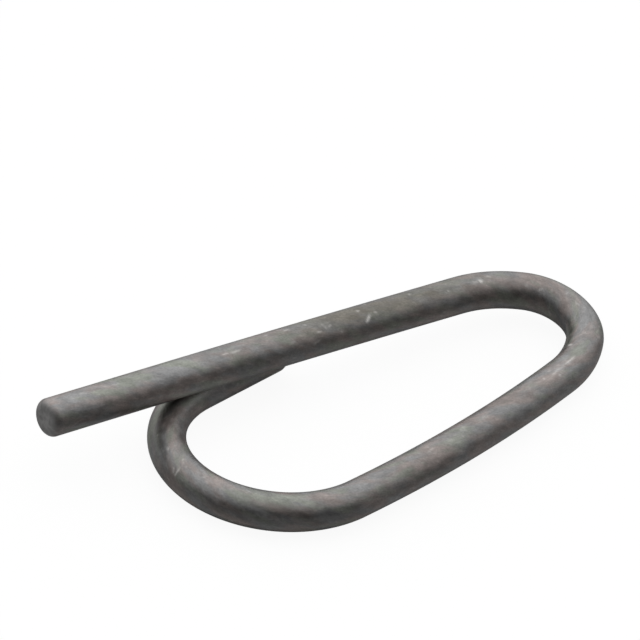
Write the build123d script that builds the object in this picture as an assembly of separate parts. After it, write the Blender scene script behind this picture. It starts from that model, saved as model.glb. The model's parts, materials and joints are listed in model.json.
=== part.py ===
from build123d import *

import os
from dataclasses import dataclass
from math import pi, radians

import numpy as np
from scipy.spatial import ConvexHull

# A hitch pin's safety clip: one length of round spring wire, bent into a closed loop. The straight leg
# goes through the hitch pin's cross hole. The wire turns back round the nose, runs bowed along the outer
# leg, and the heel brings its hook end under the straight leg, where the spring keeps it latched.
# All sizes are in millimetres and degrees, and all bend radii are those of the wire's centreline.

# Wire stock
wire_diameter = 5.0
free_end_round = 1.0
hook_end_round = 1.7

# Straight leg: a dead straight pin length, from the free end to where the hook begins to cross under it,
# and then the slight bow that the bending leaves
pin_length = 17.0
leg_bow_length = 50.0
leg_bow_turn = 0.85

# Nose: a tight bend between two gentler shoulders
nose_radius = 7.5
nose_turn = 103.0
shoulder_radius = 18.0
entry_shoulder_turn = 31.0
exit_shoulder_turn = 28.0

# Outer leg, bowed outwards
outer_leg_length = 41.0
outer_leg_turn = 12.2

# Heel, and the hook that it carries under the leg. The roll turns the heel's plane back towards the leg
heel_radius = 14.5
heel_turn = 176.8
heel_roll = -7.5
hook_length = 14.5

# Clearance that keeps the latched hook and the leg apart, as one solid can't touch itself
latch_gap = 0.15

# How finely the centreline is walked to find what the clip rests on
walk_step = 0.25


@dataclass
class Stretch:
    """One stretch of wire, in a frame whose +Z follows the wire and whose +X points into the bend.

    feed is its length along the centreline, turn its angle, and roll the turn about the wire before it.
    """

    feed: float
    turn: float = 0.0
    roll: float = 0.0

    @property
    def radius(self):
        """Bend radius of the centreline."""
        return self.feed / radians(self.turn)

    def frame(self, share=1.0):
        """Where the wire has got to after a share of the stretch."""
        start = Rot(0, 0, self.roll)
        if not self.turn:
            return start * Pos(0, 0, share * self.feed)
        return start * Pos(self.radius, 0, 0) * Rot(0, share * self.turn, 0) * Pos(-self.radius, 0, 0)

    def solid(self):
        """The wire itself: a straight bar, or a bar bent round the stretch's own centre."""
        section = Circle(wire_diameter / 2)
        if not self.turn:
            return extrude(section, self.feed)
        centre_line = Axis((self.radius, 0, 0), (0, 1, 0))
        return Rot(0, 0, self.roll) * revolve(section, centre_line, self.turn)


def bend(radius, turn, roll=0.0):
    """A stretch bent to a radius."""
    return Stretch(radius * radians(turn), turn, roll)


def bending_plan(tuck_roll):
    """Every stretch in order, from the leg's free end to the hook's end.

    tuck_roll is the roll after the nose that carries the outer leg, and so the hook, under the leg.
    """
    return [
        Stretch(pin_length),
        Stretch(leg_bow_length, leg_bow_turn),
        bend(shoulder_radius, entry_shoulder_turn),
        bend(nose_radius, nose_turn),
        bend(shoulder_radius, exit_shoulder_turn),
        Stretch(outer_leg_length, outer_leg_turn, tuck_roll),
        bend(heel_radius, heel_turn, heel_roll),
        Stretch(hook_length),
    ]


def start_frames(plan):
    """The frame at which each stretch starts, and after them the frame at the hook's end."""
    frames = [Location()]
    for stretch in plan:
        frames.append(frames[-1] * stretch.frame())
    return frames


def along(frame):
    """The direction of the wire at a frame."""
    return Plane(frame).z_dir


def hook_depth(tuck_roll):
    """How far the hook's centreline passes below the leg's, along the one line square to both."""
    frames = start_frames(bending_plan(tuck_roll))
    square = along(frames[0]).cross(along(frames[-1])).normalized()
    return abs((frames[-1].position - frames[0].position).dot(square))


def find_tuck_roll(flat=0.0, steep=60.0, tolerance=1e-4):
    """The roll that tucks the hook one wire and the latch gap under the leg, found by halving."""
    wanted = wire_diameter + latch_gap
    while steep - flat > tolerance:
        middle = (flat + steep) / 2
        if hook_depth(middle) < wanted:
            flat = middle
        else:
            steep = middle
    return (flat + steep) / 2


def centreline_points(plan):
    """Evenly spaced points along the whole wire."""
    points = []
    for frame, stretch in zip(start_frames(plan), plan):
        steps = max(1, round(stretch.feed / walk_step))
        points += [tuple((frame * stretch.frame(i / steps)).position) for i in range(steps)]
    return np.array(points)


def resting_plane(plan):
    """The table's plane under the clip, lying on three points with its hook side down.

    Every face of the hull round the centreline is a way to lie, if the middle of the wire is over it.
    The plane's Z is up and its X runs along the straight leg, from the free end to the nose.
    """
    points = centreline_points(plan)
    middle = points.mean(axis=0)
    frames = start_frames(plan)
    leg = along(frames[0])
    hook_side = leg.cross(along(frames[-1])).normalized()
    if hook_side.dot(frames[-1].position - frames[0].position) < 0:
        hook_side = -hook_side
    hull = ConvexHull(points)
    best_share = 0.0
    for corners, (*outward, offset) in zip(hull.simplices, hull.equations):
        share = Vector(*outward).dot(hook_side)
        foot = middle - (np.dot(outward, middle) + offset) * np.array(outward)
        if share > best_share and inside(foot, points[corners], outward):
            best_share = share
            down = Vector(*outward)
    return Plane(origin=Vector(*middle), x_dir=leg - down * leg.dot(down), z_dir=-down)


def inside(foot, corners, outward):
    """Is a point of a triangle's plane inside the triangle?"""
    sides = [
        np.dot(np.cross(corners[i - 1] - corners[i - 2], foot - corners[i - 2]), outward)
        for i in range(3)
    ]
    return min(sides) >= 0 or max(sides) <= 0


def bent_wire(plan):
    """The whole wire as one solid, its cut ends rounded."""
    pieces = [stretch.solid() for stretch in plan]
    free_edge = pieces[0].edges().sort_by(Axis.Z)[0]
    pieces[0] = fillet(free_edge, free_end_round)
    hook_edge = pieces[-1].edges().sort_by(Axis.Z)[-1]
    pieces[-1] = fillet(hook_edge, hook_end_round)
    placed = [frame * piece for frame, piece in zip(start_frames(plan), pieces)]
    return placed[0].fuse(*placed[1:])


def lay_down(wire, plane):
    """The move that brings the wire to its resting frame: table at Z = 0, middle of its box at the origin."""
    to_plane = plane.location.inverse()
    box = (to_plane * wire).bounding_box()
    return Pos(-box.center().X, -box.center().Y, -box.min.Z) * to_plane


def main():
    """Bend the wire, lay it down and write it."""
    plan = bending_plan(find_tuck_roll())
    wire = bent_wire(plan)
    clip = lay_down(wire, resting_plane(plan)) * wire
    clip.label = "spring_clip"
    os.makedirs("parts", exist_ok=True)
    export_step(clip, "parts/spring_clip.step")

    wire_length = sum(stretch.feed for stretch in plan)
    section_area = pi * wire_diameter**2 / 4
    print("tuck roll", round(plan[5].roll, 3), "wire length", round(wire_length, 2))
    print("volume", round(clip.volume, 1), "section times length", round(section_area * wire_length, 1))
    print("box", clip.bounding_box())


main()
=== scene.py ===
"""A spring wire safety clip for a hitch pin, dressed round its CAD frame.

The wire is walked stretch by stretch from the leg's mount, as a wire bender feeds, turns and rolls it.
Geometry Nodes sweep the round section along that walk. Nicks and scuffs are then pressed into the mesh, and
the finish is a dark satin spring steel with draw lines and faint warm and cool patches.
"""

import json
import logging
import math
from dataclasses import dataclass, field
from enum import Enum

import bpy
import numpy as np
from mathutils import Matrix, Vector


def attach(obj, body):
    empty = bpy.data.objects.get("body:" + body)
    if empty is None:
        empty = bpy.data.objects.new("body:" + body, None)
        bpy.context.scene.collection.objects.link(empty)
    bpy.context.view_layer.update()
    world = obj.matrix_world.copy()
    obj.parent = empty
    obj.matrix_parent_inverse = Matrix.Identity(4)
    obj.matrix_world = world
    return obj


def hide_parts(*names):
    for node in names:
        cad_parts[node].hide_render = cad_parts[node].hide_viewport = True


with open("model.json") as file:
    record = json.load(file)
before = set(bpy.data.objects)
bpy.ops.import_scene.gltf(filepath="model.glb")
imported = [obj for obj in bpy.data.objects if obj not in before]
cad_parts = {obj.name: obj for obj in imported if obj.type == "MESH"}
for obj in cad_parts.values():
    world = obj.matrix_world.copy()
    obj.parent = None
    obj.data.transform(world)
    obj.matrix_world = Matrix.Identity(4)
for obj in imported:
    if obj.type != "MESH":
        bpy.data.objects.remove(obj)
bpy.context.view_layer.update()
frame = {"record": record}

log = logging.getLogger("clip")

MM = 0.001
NODE = "spring_clip"

Colour = tuple[float, float, float]
Socket = bpy.types.NodeSocket


class WireEnd(Enum):
    """The two cut ends of the wire."""

    FREE = "free"
    HOOK = "hook"


class Layer(Enum):
    """The layers that the wire's mesh carries for its finish."""

    UNBENT = "unbent"
    TINT = "tint"
    BARE = "bare"
    CUT = "cut_face"


@dataclass(frozen=True)
class Stretch:
    """One stretch of wire, in a frame whose +Z follows the wire and whose +X points into the bend.

    Attributes:
        feed: Length along the centreline, in mm.
        turn: Angle that the stretch turns through, in degrees.
        roll: Turn about the wire before the stretch starts, in degrees.
    """

    feed: float
    turn: float = 0.0
    roll: float = 0.0

    def reach(self, distance: float) -> Matrix:
        """Where the wire has got to, a distance into the stretch.

        Args:
            distance: Millimetres from the start of the stretch.

        Returns:
            The frame there, seen from the end of the stretch before.
        """
        start = Matrix.Rotation(math.radians(self.roll), 4, "Z")
        if not self.turn:
            return start @ Matrix.Translation((0.0, 0.0, distance))
        radius = self.feed / math.radians(self.turn)
        out = Matrix.Translation((radius, 0.0, 0.0))
        swing = Matrix.Rotation(distance / radius, 4, "Y")
        back = Matrix.Translation((-radius, 0.0, 0.0))
        return start @ out @ swing @ back


@dataclass(frozen=True)
class Spot:
    """A place on the wire's skin with a size and a direction.

    Attributes:
        along: Place along the wire from the free end, in mm.
        clock: Place round the wire, in degrees clockwise from straight up as seen along it.
        length: Full length, in mm.
        width: Full width, in mm.
        slant: Clockwise angle of its length from the wire's own direction, in degrees.
    """

    along: float
    clock: float
    length: float
    width: float = 0.25
    slant: float = 0.0

    def strength(self, along: np.ndarray, clock: np.ndarray, radius: float) -> np.ndarray:
        """How strongly the spot shows at each place on the wire.

        Args:
            along: Places along the wire, in mm.
            clock: Places round the wire, in radians.
            radius: Radius of the wire, in mm.

        Returns:
            Numbers from 0, outside the spot, to 1 in the middle of it.
        """
        forward = along - self.along
        turned = (clock - math.radians(self.clock) + math.pi) % (2 * math.pi) - math.pi
        sideways = turned * radius
        slant = math.radians(self.slant)
        run = forward * math.cos(slant) + sideways * math.sin(slant)
        offset = sideways * math.cos(slant) - forward * math.sin(slant)
        return np.exp(-((np.abs(run) / (self.length / 2)) ** 4) - (offset / (self.width / 2)) ** 2)


@dataclass(frozen=True)
class Nick(Spot):
    """A mark where something has rubbed or struck the wire.

    Attributes:
        depth: How deep it is pressed in, in mm.
        shine: How bare the metal is in it, from 0 to 1.
    """

    depth: float = 0.01
    shine: float = 0.4


@dataclass(frozen=True)
class Tint(Spot):
    """A broad area whose colour is drawn lighter or darker than the rest.

    Attributes:
        lift: How much lighter it is, as a share, and below 0 where it is darker.
    """

    lift: float = 0.0


@dataclass
class MarksAndTints:
    """The marks on the clip: those that the photograph shows, and faint ones all over.

    Attributes:
        seed: Picks the pattern of the faint marks.
        faint_marks: How many faint marks there are.
    """

    seed: int = 7
    faint_marks: int = 150

    def tints(self) -> list[Tint]:
        """List the broad areas whose colour is drawn lighter or darker.

        Returns:
            The free end and the heel drawn lighter, the leg's top drawn darker, and a light rub after the
            nose.
        """
        return [
            Tint(10.0, 35, length=30.0, width=14.0, lift=0.16),
            Tint(53.0, 10, length=30.0, width=3.2, lift=-0.32),
            Tint(100.0, -11, length=9.0, width=1.2, slant=-3, lift=0.14),
            Tint(165.0, 0, length=16.0, width=9.0, lift=0.14),
        ]

    def leg_marks(self) -> list[Nick]:
        """List the marks on the straight leg.

        Returns:
            Rubs along it, a slanted scratch past its middle and a bright dot before the nose.
        """
        return [
            Nick(5.4, 5, length=1.2, width=0.5, slant=9, depth=0.005, shine=0.25),
            Nick(3.9, 14, length=1.0, shine=0.2),
            Nick(27.5, 18, length=0.9, shine=0.55),
            Nick(29.0, 20, length=1.6, shine=0.5),
            Nick(34.8, -8, length=0.6, shine=0.45),
            Nick(38.0, -4, length=0.9, slant=-12, shine=0.45),
            Nick(37.9, 44, length=0.7, shine=0.35),
            Nick(41.0, -2, length=0.5, slant=20, shine=0.45),
            Nick(42.3, 36, length=0.8, depth=0.02, shine=0.45),
            Nick(41.5, 64, length=1.2, slant=-13, shine=0.5),
            Nick(43.4, 24, length=0.9, width=0.2, slant=75, shine=0.35),
            Nick(44.2, 28, length=0.6, slant=-20, shine=0.35),
            Nick(45.7, 55, length=0.4, shine=0.5),
            Nick(49.5, 5, length=0.4, width=0.3, slant=-28, depth=0.02, shine=0.6),
            Nick(50.3, 40, length=1.3, width=0.34, slant=-42, depth=0.04, shine=1.0),
            Nick(51.8, 27, length=0.4, slant=-11, shine=0.5),
            Nick(58.3, -1, length=0.4, slant=-20, shine=0.5),
            Nick(60.4, 110, length=1.0, slant=8, shine=0.3),
            Nick(61.8, -30, length=0.3),
            Nick(64.0, 27, length=0.3, shine=0.5),
            Nick(69.0, 21, length=1.6, width=0.5, slant=-10, depth=0.005, shine=0.25),
            Nick(69.6, 21, length=0.6, width=0.6, depth=0.04, shine=0.85),
        ]

    def nose_marks(self) -> list[Nick]:
        """List the marks on the nose.

        Returns:
            Small nicks round it and a long light rub where it runs out into the outer leg.
        """
        return [
            Nick(76.4, 37, length=0.5, slant=90, shine=0.35),
            Nick(78.8, 40, length=0.9, slant=-33, depth=0.015, shine=0.5),
            Nick(82.6, 6, length=0.5, slant=80, shine=0.3),
            Nick(91.7, 0, length=0.6, slant=-15, shine=0.3),
            Nick(94.8, 30, length=0.6, width=0.6, slant=24, depth=0.02, shine=1.0),
            Nick(98.5, -11, length=2.4, width=0.3, depth=0.02, shine=0.6),
            Nick(100.4, -12, length=1.8, slant=-6, shine=0.35),
            Nick(102.1, -13, length=2.3, slant=-8),
            Nick(101.9, -28, length=0.3, width=0.3, depth=0.02, shine=0.6),
            Nick(102.6, 3, length=0.5, shine=0.35),
            Nick(104.4, -9, length=0.3, width=0.3, depth=0.02, shine=0.55),
        ]

    def outer_leg_marks(self) -> list[Nick]:
        """List the marks on the outer leg.

        Returns:
            Broad, faint rubs.
        """
        return [
            Nick(117.2, -7, length=2.0, width=0.5, slant=9, depth=0.005, shine=0.2),
            Nick(121.1, -1, length=1.3, width=0.5, slant=-10, depth=0.005, shine=0.2),
            Nick(122.0, -24, length=0.3, width=0.3, shine=0.35),
            Nick(127.8, -13, length=1.5, width=0.3, slant=-13, shine=0.25),
        ]

    def heel_marks(self) -> list[Nick]:
        """List the marks on the heel.

        Returns:
            Short crossed scratches on its outside.
        """
        return [
            Nick(160.8, -12, length=0.6, slant=-56, shine=0.3),
            Nick(163.7, -19, length=0.3, slant=40, shine=0.3),
            Nick(164.1, -49, length=1.1, slant=90, depth=0.015, shine=0.7),
            Nick(164.7, -52, length=0.8, slant=58, depth=0.015, shine=0.7),
            Nick(164.9, -10, length=0.25, shine=0.3),
            Nick(167.8, -24, length=0.5, width=0.3, slant=31, depth=0.02, shine=0.6),
            Nick(170.9, -36, length=0.35, slant=-29, shine=0.35),
        ]

    def scattered_marks(self, wire_length: float) -> list[Nick]:
        """Faint marks spread over the whole wire.

        Args:
            wire_length: Length of the wire, in mm.

        Returns:
            The same marks for the same seed.
        """
        chance = np.random.default_rng(self.seed)
        return [
            Nick(
                along=chance.uniform(2.0, wire_length - 3.0),
                clock=chance.uniform(-180.0, 180.0),
                length=chance.uniform(0.25, 1.0),
                width=chance.uniform(0.2, 0.35),
                slant=chance.normal(0.0, 30.0),
                depth=0.005,
                shine=chance.uniform(0.05, 0.3),
            )
            for _ in range(self.faint_marks)
        ]

    def every_mark(self, wire_length: float) -> list[Nick]:
        """All the marks, for a wire of the given length in mm."""
        seen = self.leg_marks() + self.nose_marks() + self.outer_leg_marks() + self.heel_marks()
        return seen + self.scattered_marks(wire_length)


@dataclass
class NodeSketch:
    """A short way to write a node tree.

    Attributes:
        tree: The tree that the nodes go into.
    """

    tree: bpy.types.NodeTree

    def add(self, kind: str, **settings: object) -> bpy.types.Node:
        """Add a node.

        Args:
            kind: The node's type name.
            **settings: Properties to set on it.

        Returns:
            The new node.
        """
        node = self.tree.nodes.new(kind)
        for name, value in settings.items():
            setattr(node, name, value)
        return node

    def join(self, source: Socket, target: Socket) -> None:
        """Link one socket to another."""
        self.tree.links.new(source, target)

    def feed(self, target: Socket, value: object) -> None:
        """Give a socket a value.

        Args:
            target: The socket that takes it.
            value: Another socket, a plain number or a colour.
        """
        if isinstance(value, bpy.types.NodeSocket):
            self.join(value, target)
        elif isinstance(value, tuple) and target.type == "RGBA":
            target.default_value = (*value, 1.0)
        else:
            target.default_value = value

    def calculate(self, operation: str, *values: object) -> Socket:
        """A maths node.

        Args:
            operation: What it works out.
            *values: Its inputs in order, each a socket or a number.

        Returns:
            The result's socket.
        """
        node = self.add("ShaderNodeMath", operation=operation)
        for target, value in zip(node.inputs, values):
            self.feed(target, value)
        return node.outputs["Value"]

    def product(self, *values: object) -> Socket:
        """The product of two or more values.

        Args:
            *values: Sockets or numbers.

        Returns:
            The product's socket.
        """
        total = values[0]
        for value in values[1:]:
            total = self.calculate("MULTIPLY", total, value)
        return total

    def total(self, *values: object) -> Socket:
        """The sum of two or more values.

        Args:
            *values: Sockets or numbers.

        Returns:
            The sum's socket.
        """
        total = values[0]
        for value in values[1:]:
            total = self.calculate("ADD", total, value)
        return total

    def blend(self, share: Socket, low: object, high: object) -> Socket:
        """A mix of two colours.

        Args:
            share: 0 for the low colour, 1 for the high one.
            low: A colour or a socket.
            high: A colour or a socket.

        Returns:
            The mixed colour's socket.
        """
        node = self.add("ShaderNodeMix", data_type="RGBA")
        self.join(share, node.inputs["Factor"])
        for name, value in (("A", low), ("B", high)):
            self.feed(next(s for s in node.inputs if s.name == name and s.type == "RGBA"), value)
        return next(s for s in node.outputs if s.type == "RGBA")

    def spread(self, value: Socket, edges: tuple[float, float], to: tuple[float, float]) -> Socket:
        """A smooth step from one value to another.

        Args:
            value: The socket that is measured.
            edges: Where the step starts and ends.
            to: The values before and after it.

        Returns:
            The stepped value's socket.
        """
        node = self.add("ShaderNodeMapRange", interpolation_type="SMOOTHSTEP")
        self.join(value, node.inputs["Value"])
        for name, number in zip(("From Min", "From Max", "To Min", "To Max"), (*edges, *to)):
            node.inputs[name].default_value = number
        return node.outputs["Result"]

    def scaled(self, colour: object, strength: Socket) -> Socket:
        """A colour made lighter or darker.

        Args:
            colour: A colour or a socket.
            strength: What it is multiplied by.

        Returns:
            The new colour's socket.
        """
        node = self.add("ShaderNodeVectorMath", operation="SCALE")
        self.feed(node.inputs[0], colour)
        self.join(strength, node.inputs["Scale"])
        return node.outputs["Vector"]

    def noise(self, place: Socket, patch: tuple[float, float], seed: float, detail: float = 3.0) -> Socket:
        """Noise on the unbent wire.

        Args:
            place: The unbent place, in metres.
            patch: The size of a patch along the wire and round it, in mm.
            seed: Picks one pattern out of many.
            detail: How many finer layers it holds.

        Returns:
            The noise value's socket.
        """
        stretched = self.add("ShaderNodeVectorMath", operation="MULTIPLY")
        self.join(place, stretched.inputs[0])
        along, across = patch
        stretched.inputs[1].default_value = (1 / (along * MM), 1 / (across * MM), 1 / (across * MM))
        node = self.add("ShaderNodeTexNoise", noise_dimensions="4D")
        self.join(stretched.outputs["Vector"], node.inputs["Vector"])
        node.inputs["W"].default_value = seed
        node.inputs["Scale"].default_value = 1.0
        node.inputs["Detail"].default_value = detail
        return node.outputs["Fac"]


@dataclass(frozen=True)
class SpringSteelFinish:
    """Dark, satin spring steel as it comes off the bending machine, uncoated.

    Attributes:
        warm: Colour of the brownish patches.
        cool: Colour of the neutral patches.
        olive: Colour of the greenish patches.
        dull: Colour of the patches where the skin is dull.
        bare: Colour where the metal is rubbed bare.
        sheared: Colour of a cut end.
        roughness: Least and greatest roughness of the drawn skin.
        sheared_roughness: Roughness of a cut end.
        screw: How far the marks of the straightening rolls wind round the wire, in degrees for each mm.
        cloud: Size of a broad light or dark area along and round the wire, in mm.
        patch: Size of a colour patch along and round the wire, in mm.
        smear: Size of a light or dark smear along and round the wire, in mm.
        stroke: Size of a short rub from the rolls along and round the wire, in mm.
        line: Size of a draw line along and round the wire, in mm.
        grain: Size of the fine surface grain along and round the wire, in mm.
        even: Where nearly all the values of a noise lie.
        cloud_swing: How much the clouds lighten and darken the steel, as a share.
        smear_swing: The same, for the smears.
        line_swing: The same, for the draw lines.
        grain_swing: The same, for the grain.
        patch_edges: Where, in the patches' noise, the neutral colour ends and the brownish one is full.
        mould_edges: Where, in a noise of its own, the greenish colour starts and is full.
        mould_share: How much of the greenish colour shows where it is full.
        dull_edges: Tint at which the skin is wholly dull, and at which it is not dull at all.
        dull_spread: Where, in the patches' noise, the dull colour goes from weak to strong.
        dull_range: Its weakest and its strongest share.
        stroke_edges: Where, in the strokes' noise, a rub starts and is full.
        stroke_range: How light the steel is outside a rub and in it.
        shear_edges: Where, in the patches' noise, a cut end goes from dark to light.
        shear_range: How light a cut end is at those places.
        rub_edges: Where, in the grain's noise, bare metal goes from broken to whole.
        rub_range: How bare it is at those places.
        smear_height: How far the smears stand up, in mm.
        line_height: How far the draw lines stand up, in mm.
        grain_height: How far the grain stands up, in mm.
        shear_height: How rough the cut ends are, in mm.
    """

    warm: Colour = (0.355, 0.314, 0.299)
    cool: Colour = (0.315, 0.315, 0.317)
    olive: Colour = (0.316, 0.329, 0.292)
    dull: Colour = (0.350, 0.330, 0.288)
    bare: Colour = (0.88, 0.86, 0.83)
    sheared: Colour = (0.48, 0.475, 0.47)
    roughness: tuple[float, float] = (0.39, 0.47)
    sheared_roughness: float = 0.55
    screw: float = -6.0
    cloud: tuple[float, float] = (14.0, 4.0)
    patch: tuple[float, float] = (4.5, 1.6)
    smear: tuple[float, float] = (1.7, 0.9)
    stroke: tuple[float, float] = (0.8, 0.35)
    line: tuple[float, float] = (5.0, 0.3)
    grain: tuple[float, float] = (0.28, 0.2)
    even: tuple[float, float] = (0.3, 0.7)
    cloud_swing: float = 0.07
    smear_swing: float = 0.16
    line_swing: float = 0.02
    grain_swing: float = 0.1
    patch_edges: tuple[float, float] = (0.38, 0.62)
    mould_edges: tuple[float, float] = (0.48, 0.66)
    mould_share: float = 0.9
    dull_edges: tuple[float, float] = (0.7, 1.0)
    dull_spread: tuple[float, float] = (0.4, 0.6)
    dull_range: tuple[float, float] = (0.4, 1.0)
    stroke_edges: tuple[float, float] = (0.5, 0.8)
    stroke_range: tuple[float, float] = (0.985, 1.18)
    shear_edges: tuple[float, float] = (0.35, 0.65)
    shear_range: tuple[float, float] = (0.75, 1.15)
    rub_edges: tuple[float, float] = (0.35, 0.55)
    rub_range: tuple[float, float] = (0.75, 1.0)
    smear_height: float = 0.03
    line_height: float = 0.003
    grain_height: float = 0.004
    shear_height: float = 0.05

    def screwed(self, build: NodeSketch, place: Socket) -> Socket:
        """Wind the unbent place round the wire, so that a pattern on it runs at the rolls' screw angle.

        Args:
            build: The sketch of the tree that the nodes go into.
            place: The unbent place, in metres.

        Returns:
            The wound place's socket.
        """
        parts = build.add("ShaderNodeSeparateXYZ")
        build.join(place, parts.inputs["Vector"])
        wound = build.add("ShaderNodeVectorRotate", rotation_type="X_AXIS")
        build.join(place, wound.inputs["Vector"])
        build.join(build.product(parts.outputs["X"], math.radians(self.screw) / MM), wound.inputs["Angle"])
        return wound.outputs["Vector"]

    def swing(self, build: NodeSketch, noise: Socket, share: float) -> Socket:
        """A factor that follows a noise and swings by a share about 1."""
        return build.spread(noise, self.even, (1.0 - share, 1.0 + share))

    def material(self) -> bpy.types.Material:
        """Build the finish as a procedural material on the unbent wire.

        Returns:
            The material.
        """
        steel = bpy.data.materials.new("spring_steel")
        steel.use_nodes = True
        tree = steel.node_tree
        tree.nodes.clear()
        build = NodeSketch(tree)
        straight = build.add("ShaderNodeAttribute", attribute_name=Layer.UNBENT.value).outputs["Vector"]
        tint = build.add("ShaderNodeAttribute", attribute_name=Layer.TINT.value).outputs["Fac"]
        rubbed = build.add("ShaderNodeAttribute", attribute_name=Layer.BARE.value).outputs["Fac"]
        cut = build.add("ShaderNodeAttribute", attribute_name=Layer.CUT.value).outputs["Fac"]
        wound = self.screwed(build, straight)

        clouds = build.noise(wound, self.cloud, seed=1.0, detail=2.0)
        patches = build.noise(wound, self.patch, seed=4.0, detail=4.0)
        smears = build.noise(wound, self.smear, seed=9.0, detail=2.5)
        strokes = build.noise(wound, self.stroke, seed=17.0, detail=1.0)
        lines = build.noise(straight, self.line, seed=13.0, detail=1.0)
        grain = build.noise(wound, self.grain, seed=21.0, detail=2.0)
        mould = build.noise(wound, self.patch, seed=30.0, detail=4.0)

        tone = build.blend(build.spread(patches, self.patch_edges, (0.0, 1.0)), self.cool, self.warm)
        tone = build.blend(build.spread(mould, self.mould_edges, (0.0, self.mould_share)), tone, self.olive)
        dull_area = build.spread(tint, self.dull_edges, (1.0, 0.0))
        dull_share = build.product(dull_area, build.spread(patches, self.dull_spread, self.dull_range))
        tone = build.blend(dull_share, tone, self.dull)
        strength = build.product(
            tint,
            self.swing(build, clouds, self.cloud_swing),
            self.swing(build, smears, self.smear_swing),
            build.spread(strokes, self.stroke_edges, self.stroke_range),
            self.swing(build, lines, self.line_swing),
            self.swing(build, grain, self.grain_swing),
        )
        hackled = build.scaled(self.sheared, build.spread(patches, self.shear_edges, self.shear_range))
        faced = build.blend(cut, build.scaled(tone, strength), hackled)
        bare = build.product(rubbed, build.spread(grain, self.rub_edges, self.rub_range))
        colour = build.blend(bare, faced, self.bare)

        skin = build.spread(smears, self.even, self.roughness)
        extra = self.sheared_roughness - sum(self.roughness) / 2
        relief = build.total(
            build.product(smears, self.smear_height),
            build.product(lines, self.line_height),
            build.product(grain, self.grain_height),
            build.product(patches, cut, self.shear_height),
        )
        bump = build.add("ShaderNodeBump")
        bump.inputs["Strength"].default_value = 1.0
        bump.inputs["Distance"].default_value = MM
        build.join(relief, bump.inputs["Height"])

        shader = build.add("ShaderNodeBsdfPrincipled")
        build.join(colour, shader.inputs["Base Color"])
        shader.inputs["Metallic"].default_value = 1.0
        build.join(build.total(skin, build.product(cut, extra)), shader.inputs["Roughness"])
        build.join(bump.outputs["Normal"], shader.inputs["Normal"])
        output = build.add("ShaderNodeOutputMaterial")
        build.join(shader.outputs["BSDF"], output.inputs["Surface"])
        return steel


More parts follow.
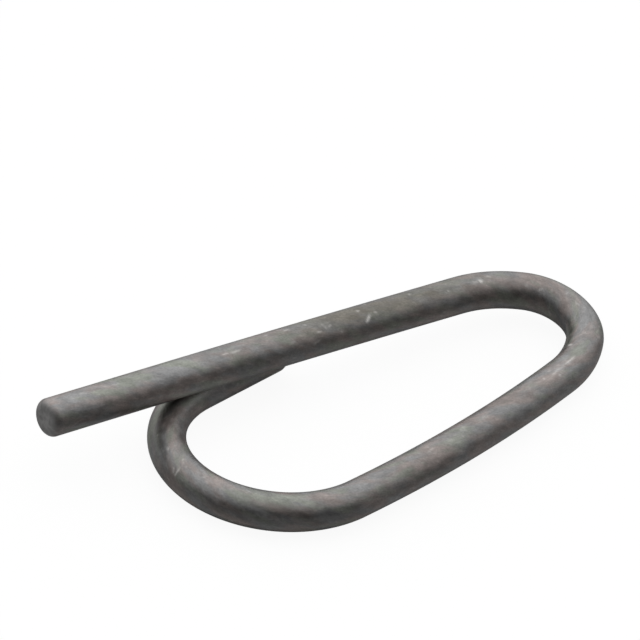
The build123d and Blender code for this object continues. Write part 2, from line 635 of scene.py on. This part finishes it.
@dataclass
class BentWire:
    """The clip's wire: its bending plan, its swept mesh and the marks on it. Sizes are in mm and degrees.

    Attributes:
        diameter: Thickness of the wire.
        free_end_round: Rounding of the leg's free end.
        hook_end_round: Rounding of the hook's end.
        pin_length: The straight part of the leg, which goes through the hitch pin.
        leg_bow_length: The rest of the leg, which is bowed a little.
        leg_bow_turn: How far that part turns.
        nose_radius: Radius of the nose, to the middle of the wire.
        nose_turn: How far the nose turns.
        shoulder_radius: Radius of the easier bends before and after the nose.
        entry_shoulder_turn: How far the bend before the nose turns.
        exit_shoulder_turn: How far the bend after the nose turns.
        outer_leg_length: Length of the bowed outer leg.
        outer_leg_turn: How far the outer leg turns.
        tuck_roll: Roll before the outer leg, which takes the hook under the straight leg.
        heel_radius: Radius of the heel, to the middle of the wire.
        heel_turn: How far the heel turns.
        heel_roll: Roll before the heel.
        hook_length: The straight part of the hook.
        nose_lean: How far the plane of the nose leans from level, about the leg.
        cut_fade: Where the look of a cut end fades out, as shares of its rounding.
        ring_pitch: Spacing of the mesh's rings.
        end_rings: Steps over each rounded end.
        sides: Points round each ring.
        marks_and_tints: The marks on the wire.
    """

    diameter: float = 5.0
    free_end_round: float = 1.0
    hook_end_round: float = 1.7
    pin_length: float = 17.0
    leg_bow_length: float = 50.0
    leg_bow_turn: float = 0.85
    nose_radius: float = 7.5
    nose_turn: float = 103.0
    shoulder_radius: float = 18.0
    entry_shoulder_turn: float = 31.0
    exit_shoulder_turn: float = 28.0
    outer_leg_length: float = 41.0
    outer_leg_turn: float = 12.2
    tuck_roll: float = 15.364
    heel_radius: float = 14.5
    heel_turn: float = 176.8
    heel_roll: float = -7.5
    hook_length: float = 14.5
    nose_lean: float = 6.756
    cut_fade: tuple[float, float] = (0.07, 0.42)
    ring_pitch: float = 0.22
    end_rings: int = 14
    sides: int = 100
    marks_and_tints: MarksAndTints = field(default_factory=MarksAndTints)

    def bend(self, radius: float, turn: float) -> Stretch:
        """A stretch bent to a centreline radius."""
        return Stretch(radius * math.radians(turn), turn)

    def plan(self) -> list[Stretch]:
        """Every stretch in order, from the leg's free end to the hook's end.

        Returns:
            The stretches.
        """
        heel = self.bend(self.heel_radius, self.heel_turn)
        return [
            Stretch(self.pin_length),
            Stretch(self.leg_bow_length, self.leg_bow_turn),
            self.bend(self.shoulder_radius, self.entry_shoulder_turn),
            self.bend(self.nose_radius, self.nose_turn),
            self.bend(self.shoulder_radius, self.exit_shoulder_turn),
            Stretch(self.outer_leg_length, self.outer_leg_turn, self.tuck_roll),
            Stretch(heel.feed, heel.turn, self.heel_roll),
            Stretch(self.hook_length),
        ]

    @property
    def length(self) -> float:
        """Length of the whole wire along its centreline, in mm."""
        return sum(stretch.feed for stretch in self.plan())

    def start_frame(self) -> Matrix:
        """The frame at the free end, from the leg's mount in the record, in mm.

        Returns:
            A matrix whose Z runs along the leg towards the nose and whose X points into the nose bend.
        """
        mount = next(m for m in frame["record"]["mounts"] if m["name"] == "leg")
        outward = Vector(mount["axis"]).normalized()
        end = Vector(mount["pos_m"]) / MM + outward * (mount["dims"]["length_mm"] / 2 + self.free_end_round)
        forward = -outward
        level = Vector((0.0, -1.0, 0.0))
        level = (level - forward * level.dot(forward)).normalized()
        into_bend = Matrix.Rotation(math.radians(self.nose_lean), 3, forward) @ level
        across = forward.cross(into_bend)
        turned = Matrix((into_bend, across, forward)).transposed().to_4x4()
        return Matrix.Translation(end) @ turned

    def rounded_end(self, edge: float) -> list[tuple[float, float]]:
        """Rings over one rounded end.

        Args:
            edge: Radius of the rounding, in mm.

        Returns:
            Each ring's distance in from the end and its radius as a share of the wire's.
        """
        full = self.diameter / 2
        rings = []
        for step in range(self.end_rings + 1):
            angle = math.pi / 2 * step / self.end_rings
            rings.append((edge * (1 - math.cos(angle)), (full - edge + edge * math.sin(angle)) / full))
        return rings

    def stations(self) -> list[tuple[float, float]]:
        """Every ring of the sweep: its place along the wire in mm and its radius as a share of full.

        Returns:
            Pairs that crowd together over the rounded ends and are evenly spaced between them.
        """
        first = self.rounded_end(self.free_end_round)
        hook_rings = reversed(self.rounded_end(self.hook_end_round))
        last = [(self.length - inset, share) for inset, share in hook_rings]
        count = round((last[0][0] - first[-1][0]) / self.ring_pitch)
        middle = np.linspace(first[-1][0], last[0][0], count + 1)[1:-1]
        return first + [(float(place), 1.0) for place in middle] + last

    def centreline(self, places: list[float] | np.ndarray) -> tuple[np.ndarray, np.ndarray]:
        """The wire's centreline in the row frame.

        Args:
            places: Distances along the wire from the free end, in mm and rising.

        Returns:
            The points, in mm, and the unit directions of the wire there, as arrays of rows.
        """
        points, directions = [], []
        here = self.start_frame()
        passed = 0.0
        stretches = self.plan()
        for place in places:
            while place - passed > stretches[0].feed and len(stretches) > 1:
                here = here @ stretches[0].reach(stretches[0].feed)
                passed += stretches[0].feed
                stretches.pop(0)
            local = here @ stretches[0].reach(place - passed)
            points.append(local.translation[:])
            directions.append(local.col[2][:3])
        return np.array(points), np.array(directions)

    def path_object(self) -> bpy.types.Object:
        """Lay out the path that the section is swept along.

        Returns:
            The centreline as a curve object in metres. Its points' radius carries the rounding of the ends.
        """
        stations = self.stations()
        points, _ = self.centreline([place for place, _ in stations])
        curve = bpy.data.curves.new("wire_path", "CURVE")
        curve.dimensions = "3D"
        spline = curve.splines.new("POLY")
        spline.points.add(len(points) - 1)
        spline.points.foreach_set("co", np.c_[points * MM, np.ones(len(points))].ravel())
        spline.points.foreach_set("radius", [share for _, share in stations])
        path = bpy.data.objects.new("wire_path", curve)
        bpy.context.scene.collection.objects.link(path)
        return path

    def sweep_tree(self, steel: bpy.types.Material) -> bpy.types.NodeTree:
        """Geometry Nodes that sweep the round section along the path.

        The sweep stores each point's place on the straight, unbent wire, which the finish reads, so that a
        pattern follows the wire round its bends.

        Args:
            steel: The finish that the swept wire takes.

        Returns:
            The node tree, with the inputs Wire Radius and Sides.
        """
        tree = bpy.data.node_groups.new("wire_sweep", "GeometryNodeTree")
        sockets = tree.interface
        sockets.new_socket("Geometry", in_out="INPUT", socket_type="NodeSocketGeometry")
        sockets.new_socket("Wire Radius", in_out="INPUT", socket_type="NodeSocketFloat")
        sockets.new_socket("Sides", in_out="INPUT", socket_type="NodeSocketInt")
        sockets.new_socket("Geometry", in_out="OUTPUT", socket_type="NodeSocketGeometry")

        build = NodeSketch(tree)
        given = build.add("NodeGroupInput")
        result = build.add("NodeGroupOutput")
        path = build.add("GeometryNodeCaptureAttribute")
        path.capture_items.new("FLOAT", "along")
        spline = build.add("GeometryNodeSplineParameter")
        section = build.add("GeometryNodeCurvePrimitiveCircle", mode="RADIUS")
        rounded = build.add("GeometryNodeCaptureAttribute")
        rounded.capture_items.new("VECTOR", "round")
        position = build.add("GeometryNodeInputPosition")
        sweep = build.add("GeometryNodeCurveToMesh")
        share = build.add("GeometryNodeInputRadius")
        split = build.add("ShaderNodeSeparateXYZ")
        merge = build.add("ShaderNodeCombineXYZ")
        store = build.add("GeometryNodeStoreNamedAttribute", data_type="FLOAT_VECTOR", domain="POINT")
        smooth = build.add("GeometryNodeSetShadeSmooth")
        real = build.add("GeometryNodeRealizeInstances")
        dress = build.add("GeometryNodeSetMaterial")

        build.join(given.outputs["Geometry"], path.inputs["Geometry"])
        build.join(spline.outputs["Length"], path.inputs["along"])
        build.join(given.outputs["Wire Radius"], section.inputs["Radius"])
        build.join(given.outputs["Sides"], section.inputs["Resolution"])
        build.join(section.outputs["Curve"], rounded.inputs["Geometry"])
        build.join(position.outputs["Position"], rounded.inputs["round"])
        build.join(path.outputs["Geometry"], sweep.inputs["Curve"])
        build.join(rounded.outputs["Geometry"], sweep.inputs["Profile Curve"])
        build.join(share.outputs["Radius"], sweep.inputs["Scale"])
        sweep.inputs["Fill Caps"].default_value = True
        build.join(rounded.outputs["round"], split.inputs["Vector"])
        build.join(path.outputs["along"], merge.inputs["X"])
        build.join(split.outputs["X"], merge.inputs["Y"])
        build.join(split.outputs["Y"], merge.inputs["Z"])
        build.join(sweep.outputs["Mesh"], store.inputs["Geometry"])
        store.inputs["Name"].default_value = Layer.UNBENT.value
        build.join(merge.outputs["Vector"], store.inputs["Value"])
        build.join(store.outputs["Geometry"], smooth.inputs["Geometry"])
        build.join(smooth.outputs["Geometry"], real.inputs["Geometry"])
        build.join(real.outputs["Geometry"], dress.inputs["Geometry"])
        dress.inputs["Material"].default_value = steel
        build.join(dress.outputs["Geometry"], result.inputs["Geometry"])
        return tree

    def swept_mesh(self, steel: bpy.types.Material) -> bpy.types.Mesh:
        """Run the sweep and keep its result as a plain mesh.

        Args:
            steel: The finish that the swept wire takes.

        Returns:
            The wire's mesh, in metres in the row frame.
        """
        path = self.path_object()
        tree = self.sweep_tree(steel)
        modifier = path.modifiers.new("sweep", "NODES")
        modifier.node_group = tree
        inputs = {
            item.name: item.identifier
            for item in tree.interface.items_tree
            if item.item_type == "SOCKET" and item.in_out == "INPUT"
        }
        modifier[inputs["Wire Radius"]] = self.diameter / 2 * MM
        modifier[inputs["Sides"]] = self.sides
        shown = bpy.context.evaluated_depsgraph_get()
        mesh = bpy.data.meshes.new_from_object(path.evaluated_get(shown))
        mesh.name = "wire"
        path.modifiers.remove(modifier)
        curve = path.data
        bpy.data.objects.remove(path)
        bpy.data.curves.remove(curve)
        bpy.data.node_groups.remove(tree)
        return mesh

    def mark(self, mesh: bpy.types.Mesh) -> None:
        """Press the marks into the swept wire, and store where its metal is bare and where it is cut.

        Args:
            mesh: The swept wire, which carries its unbent places.
        """
        count = len(mesh.vertices)
        radius = self.diameter / 2
        unbent = np.empty(count * 3)
        mesh.attributes[Layer.UNBENT.value].data.foreach_get("vector", unbent)
        along = unbent.reshape(-1, 3)[:, 0] / MM
        spots = np.empty(count * 3)
        mesh.vertices.foreach_get("co", spots)
        spots = spots.reshape(-1, 3) / MM
        order, inverse = np.unique(along, return_inverse=True)
        points, directions = self.centreline(order)
        direction = directions[inverse]
        spoke = spots - points[inverse]
        spoke -= direction * (spoke * direction).sum(axis=1)[:, None]
        up = np.array([0.0, 0.0, 1.0]) - direction * direction[:, 2:]
        left = np.cross(up, direction)
        clock = np.arctan2(-(spoke * left).sum(axis=1), (spoke * up).sum(axis=1))

        # Broad areas whose colour is drawn lighter or darker: the free end and the heel lighter, the top of
        # the leg darker.
        tint = np.ones(count)
        for area in self.marks_and_tints.tints():
            tint += area.strength(along, clock, radius) * area.lift
        bare = np.zeros(count)
        dent = np.zeros(count)
        for nick in self.marks_and_tints.every_mark(self.length):
            shape = nick.strength(along, clock, radius)
            bare = np.maximum(bare, shape * nick.shine)
            dent = np.maximum(dent, shape * nick.depth)
        spots -= spoke / radius * dent[:, None]
        mesh.vertices.foreach_set("co", (spots * MM).ravel())

        cut = np.zeros(count)
        fade_start, fade_end = self.cut_fade
        for end, edge in ((WireEnd.FREE, self.free_end_round), (WireEnd.HOOK, self.hook_end_round)):
            inset = along if end is WireEnd.FREE else self.length - along
            cut = np.maximum(cut, np.clip((fade_end - inset / edge) / (fade_end - fade_start), 0.0, 1.0))
        for layer, values in ((Layer.TINT, tint), (Layer.BARE, bare), (Layer.CUT, cut)):
            mesh.attributes.new(layer.value, "FLOAT", "POINT").data.foreach_set("value", values)
        mesh.update()

    def make(self, steel: bpy.types.Material) -> bpy.types.Object:
        """Build the wire, mark it and put it in the CAD solid's place.

        Args:
            steel: The finish that the wire takes.

        Returns:
            The finished piece.
        """
        mesh = self.swept_mesh(steel)
        self.mark(mesh)
        wire = bpy.data.objects.new("bent_wire", mesh)
        bpy.context.scene.collection.objects.link(wire)
        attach(wire, "root")
        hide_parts(NODE)
        log.info("bent wire: %.1f mm of wire, %d faces", self.length, len(mesh.polygons))
        return wire


@dataclass(frozen=True)
class PhotoCamera:
    """The camera, at the photograph's viewing angle.

    Attributes:
        azimuth: Where it looks, in degrees from +Y towards -X.
        elevation: How far it looks down, in degrees.
        tilt: Its turn about its own view, in degrees.
        distance: From the aim point to the lens, in mm.
        aim: The point at the middle of the picture, in mm.
        focal_px: Focal length in pixels of the picture.
        picture_px: Width of the picture, in pixels.
        sensor_mm: Width of the sensor, in mm.
    """

    azimuth: float = -41.04
    elevation: float = 35.005
    tilt: float = 6.706
    distance: float = 698.66
    aim: tuple[float, float, float] = (8.106, 17.971, 3.0)
    focal_px: float = 5302.5
    picture_px: int = 640
    sensor_mm: float = 36.0

    def level_view(self) -> Vector:
        """The level direction away from the camera."""
        turn = math.radians(self.azimuth)
        return Vector((-math.sin(turn), math.cos(turn), 0.0))

    def place(self) -> bpy.types.Object:
        """Put the camera in the scene and make it the scene's own.

        Returns:
            The camera.
        """
        dip = math.radians(self.elevation)
        view = self.level_view() * math.cos(dip) - Vector((0.0, 0.0, math.sin(dip)))
        right = self.level_view().cross(Vector((0.0, 0.0, 1.0)))
        right = Matrix.Rotation(-math.radians(self.tilt), 3, view) @ right
        data = bpy.data.cameras.new("camera")
        data.sensor_fit = "HORIZONTAL"
        data.sensor_width = self.sensor_mm
        data.lens = self.focal_px / self.picture_px * self.sensor_mm
        data.clip_start = 0.01
        data.clip_end = 100.0
        data.dof.use_dof = False
        camera = bpy.data.objects.new("camera", data)
        bpy.context.scene.collection.objects.link(camera)
        turned = Matrix((right, right.cross(view), -view)).transposed().to_4x4()
        camera.matrix_world = Matrix.Translation((Vector(self.aim) - view * self.distance) * MM) @ turned
        bpy.context.scene.camera = camera
        log.info("camera: %.0f mm lens", data.lens)
        return camera


@dataclass(frozen=True)
class Floor:
    """A plain white floor, which shows white to the camera and keeps the object's shadow.

    Attributes:
        side: Side of the square, in m.
        shadow_share: Share of its brightness, as the camera sees it, that comes from the light falling on it.
        light_level: Brightness that the sky alone gives a white floor.
        polish: How much a polished floor gives back of what falls on it.
        polish_roughness: Roughness of that polish.
        mirror_glow: How much of its white shows in metal and glass.
    """

    side: float = 6.0
    shadow_share: float = 0.12
    light_level: float = 0.58
    polish: float = 0.28
    polish_roughness: float = 0.35
    mirror_glow: float = 0.1

    def paint(self) -> bpy.types.Material:
        """Mix the floor's material.

        Returns:
            A material that shows white to the camera and a weak polish to all other rays.
        """
        paint = bpy.data.materials.new("floor_paint")
        paint.use_nodes = True
        tree = paint.node_tree
        tree.nodes.clear()
        build = NodeSketch(tree)
        rays = build.add("ShaderNodeLightPath")
        camera_ray = rays.outputs["Is Camera Ray"]
        glossy_ray, through_ray = rays.outputs["Is Glossy Ray"], rays.outputs["Is Transmission Ray"]
        mirror_ray = build.calculate("MAXIMUM", glossy_ray, through_ray)
        matt = build.add("ShaderNodeBsdfDiffuse")
        matt.inputs["Color"].default_value = (self.shadow_share,) * 3 + (1.0,)
        polish = build.add("ShaderNodeBsdfAnisotropic")
        polish.inputs["Color"].default_value = (self.polish,) * 3 + (1.0,)
        polish.inputs["Roughness"].default_value = self.polish_roughness
        face = build.add("ShaderNodeMixShader")
        build.join(camera_ray, face.inputs["Fac"])
        build.join(polish.outputs["BSDF"], face.inputs[1])
        build.join(matt.outputs["BSDF"], face.inputs[2])
        seen = build.product(camera_ray, 1.0 - self.shadow_share * self.light_level)
        glow = build.add("ShaderNodeEmission")
        build.join(build.total(seen, build.product(mirror_ray, self.mirror_glow)), glow.inputs["Strength"])
        both = build.add("ShaderNodeAddShader")
        build.join(face.outputs["Shader"], both.inputs[0])
        build.join(glow.outputs["Emission"], both.inputs[1])
        output = build.add("ShaderNodeOutputMaterial")
        build.join(both.outputs["Shader"], output.inputs["Surface"])
        return paint

    def lay(self) -> bpy.types.Object:
        """Lay the floor under the object.

        Returns:
            The floor.
        """
        half = self.side / 2
        corners = [(-half, -half, 0.0), (half, -half, 0.0), (half, half, 0.0), (-half, half, 0.0)]
        mesh = bpy.data.meshes.new("floor")
        mesh.from_pydata(corners, [], [(0, 1, 2, 3)])
        mesh.materials.append(self.paint())
        floor = bpy.data.objects.new("floor", mesh)
        bpy.context.scene.collection.objects.link(floor)
        log.info("floor: %.0f m square", self.side)
        return floor


@dataclass(frozen=True)
class StudioSky:
    """A broad soft sky, bright above and behind the object and dark towards the camera.

    Attributes:
        azimuth: Middle of the bright part, in degrees from straight away from the camera to its right.
        elevation: Middle of the bright part, in degrees above level.
        bright: Brightness in the middle.
        dark: Brightness on the far side from it.
        fade: Where it fades from dark to bright, as cosines of the angle from the middle.
    """

    azimuth: float = -6.6
    elevation: float = 48.7
    bright: float = 1.26
    dark: float = 0.05
    fade: tuple[float, float] = (-0.38, 1.2)

    def light(self, away: Vector) -> bpy.types.World:
        """Light the scene with the sky.

        Args:
            away: The level direction away from the camera.

        Returns:
            The world that it is built in.
        """
        world = bpy.data.worlds.new("studio_sky")
        world.use_nodes = True
        tree = world.node_tree
        tree.nodes.clear()
        build = NodeSketch(tree)
        turn, lift = math.radians(self.azimuth), math.radians(self.elevation)
        right = away.cross(Vector((0.0, 0.0, 1.0)))
        level = right * math.sin(turn) + away * math.cos(turn)
        middle = level * math.cos(lift) + Vector((0.0, 0.0, math.sin(lift)))
        towards = build.add("ShaderNodeTexCoord").outputs["Generated"]
        measure = build.add("ShaderNodeVectorMath", operation="DOT_PRODUCT")
        build.join(towards, measure.inputs[0])
        measure.inputs[1].default_value = middle
        glow = build.spread(measure.outputs["Value"], self.fade, (self.dark, self.bright))
        rays = build.add("ShaderNodeLightPath")
        background = build.add("ShaderNodeBackground")
        shown = build.calculate("MAXIMUM", glow, rays.outputs["Is Camera Ray"])
        build.join(shown, background.inputs["Strength"])
        output = build.add("ShaderNodeOutputWorld")
        build.join(background.outputs["Background"], output.inputs["Surface"])
        bpy.context.scene.world = world
        log.info("sky: brightest %.2f", self.bright)
        return world


def main() -> None:
    """Build the clip and its studio."""
    logging.basicConfig(level=logging.INFO, format="%(name)s: %(message)s")
    bpy.context.scene.view_settings.view_transform = "Standard"
    BentWire().make(SpringSteelFinish().material())
    camera = PhotoCamera()
    camera.place()
    Floor().lay()
    StudioSky().light(camera.level_view())


if __name__ == "__main__":
    main()
